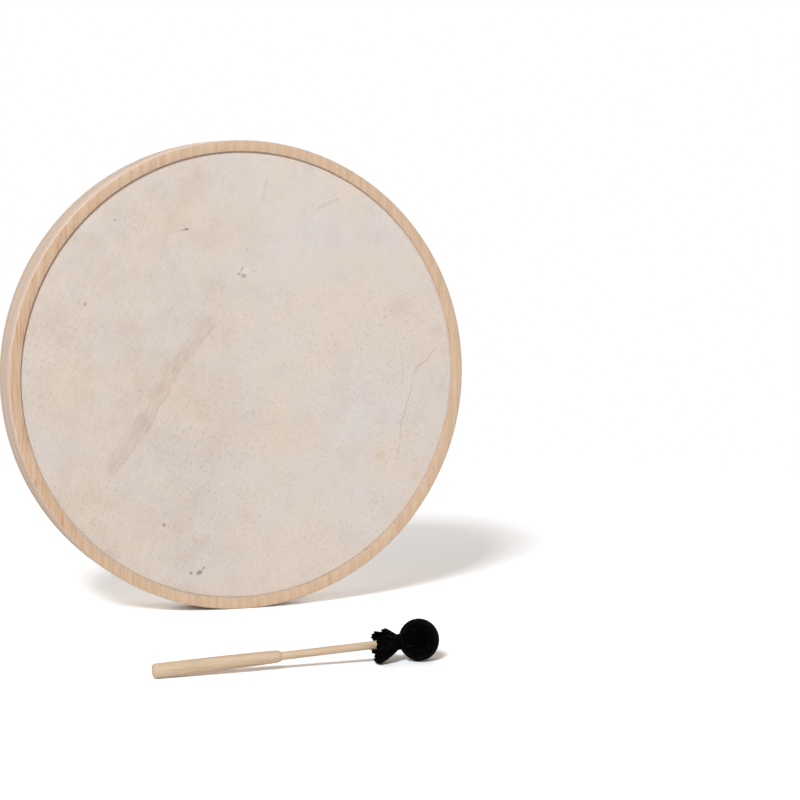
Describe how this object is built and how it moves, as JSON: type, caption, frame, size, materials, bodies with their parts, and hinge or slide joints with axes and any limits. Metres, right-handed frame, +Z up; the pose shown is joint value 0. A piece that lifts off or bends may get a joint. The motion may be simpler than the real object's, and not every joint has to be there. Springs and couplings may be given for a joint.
{
  "type": "shaman drum",
  "caption": "Round frame drum with a rawhide head, a tuning ring pressed by set screws from behind, a laced and bound hand grip at the back, and a padded beater.",
  "frame": {"origin": "on the ground under the middle of the rim, at the centre of the flat the drum stands on", "axes": "+Y along the drum axis from the head to the open back, +Z up, +X to the right seen from the head"},
  "size_m": [0.4996, 0.4207, 0.4995],
  "materials": {
    "rim_wood": "satin oiled ash",
    "cover_wood": "satin oiled ash",
    "tuning_wood": "satin",
    "rawhide": "matt",
    "lace_rawhide": "satin",
    "white_cord": "matt",
    "stick_wood": "satin",
    "black_cloth": "velvet",
    "felt": "matt",
    "dark_screw": "blackened",
    "bronze_insert": "dark bronze"
  },
  "bodies": {
    "drum": {"rim": "rim_wood", "cover_ring": "cover_wood", "drum_head": "rawhide", "lace_upright": "lace_rawhide", "lace_level": "lace_rawhide", "hub_core": "white_cord", "hub_binding": "white_cord", "arm_binding_top": "white_cord", "arm_binding_right": "white_cord", "arm_binding_bottom": "white_cord", "arm_binding_left": "white_cord", "threaded_insert_1": "bronze_insert", "threaded_insert_2": "bronze_insert", "threaded_insert_3": "bronze_insert", "threaded_insert_4": "bronze_insert", "threaded_insert_5": "bronze_insert", "threaded_insert_6": "bronze_insert", "threaded_insert_7": "bronze_insert", "threaded_insert_8": "bronze_insert"},
    "tuning_ring_body": {"tuning_ring": "tuning_wood"},
    "screw_1": {"tuning_screw_1": "dark_screw"},
    "screw_2": {"tuning_screw_2": "dark_screw"},
    "screw_3": {"tuning_screw_3": "dark_screw"},
    "screw_4": {"tuning_screw_4": "dark_screw"},
    "screw_5": {"tuning_screw_5": "dark_screw"},
    "screw_6": {"tuning_screw_6": "dark_screw"},
    "screw_7": {"tuning_screw_7": "dark_screw"},
    "screw_8": {"tuning_screw_8": "dark_screw"},
    "beater": {"beater_grip": "stick_wood", "beater_rod": "stick_wood", "beater_ball": "felt", "beater_cover": "black_cloth", "beater_tie": "black_cloth"}
  },
  "joints": [
    {"name": "tuning_travel", "type": "slide", "parent": "drum", "child": "tuning_ring_body", "axis": [0, -1, 0], "range_m": [0, 0.0015], "deforming": ["drum_head"]},
    {"name": "screw_1_turn", "type": "hinge", "parent": "tuning_ring_body", "child": "screw_1", "pos_m": [0.03281, 0.009, 0.48928], "axis": [0, -1, 0], "range_deg": [0, 541]},
    {"name": "screw_2_turn", "type": "hinge", "parent": "tuning_ring_body", "child": "screw_2", "pos_m": [-0.14616, 0.009, 0.44232], "axis": [0, -1, 0], "range_deg": [0, 541]},
    {"name": "screw_3_turn", "type": "hinge", "parent": "tuning_ring_body", "child": "screw_3", "pos_m": [-0.23951, 0.009, 0.28257], "axis": [0, -1, 0], "range_deg": [0, 541]},
    {"name": "screw_4_turn", "type": "hinge", "parent": "tuning_ring_body", "child": "screw_4", "pos_m": [-0.19256, 0.009, 0.1036], "axis": [0, -1, 0], "range_deg": [0, 541]},
    {"name": "screw_5_turn", "type": "hinge", "parent": "tuning_ring_body", "child": "screw_5", "pos_m": [-0.03281, 0.009, 0.01025], "axis": [0, -1, 0], "range_deg": [0, 541]},
    {"name": "screw_6_turn", "type": "hinge", "parent": "tuning_ring_body", "child": "screw_6", "pos_m": [0.14616, 0.009, 0.0572], "axis": [0, -1, 0], "range_deg": [0, 541]},
    {"name": "screw_7_turn", "type": "hinge", "parent": "tuning_ring_body", "child": "screw_7", "pos_m": [0.23951, 0.009, 0.21695], "axis": [0, -1, 0], "range_deg": [0, 541]},
    {"name": "screw_8_turn", "type": "hinge", "parent": "tuning_ring_body", "child": "screw_8", "pos_m": [0.19256, 0.009, 0.39592], "axis": [0, -1, 0], "range_deg": [0, 541]},
    {"name": "beater_lift", "type": "slide", "parent": "drum", "child": "beater", "axis": [0, 0, 1], "range_m": [0, 0.3]}
  ],
  "couplings": [
    {"joint": "screw_1_turn", "follows": "tuning_travel", "rad_per_m": 6283.2},
    {"joint": "screw_2_turn", "follows": "tuning_travel", "rad_per_m": 6283.2},
    {"joint": "screw_3_turn", "follows": "tuning_travel", "rad_per_m": 6283.2},
    {"joint": "screw_4_turn", "follows": "tuning_travel", "rad_per_m": 6283.2},
    {"joint": "screw_5_turn", "follows": "tuning_travel", "rad_per_m": 6283.2},
    {"joint": "screw_6_turn", "follows": "tuning_travel", "rad_per_m": 6283.2},
    {"joint": "screw_7_turn", "follows": "tuning_travel", "rad_per_m": 6283.2},
    {"joint": "screw_8_turn", "follows": "tuning_travel", "rad_per_m": 6283.2}
  ]
}
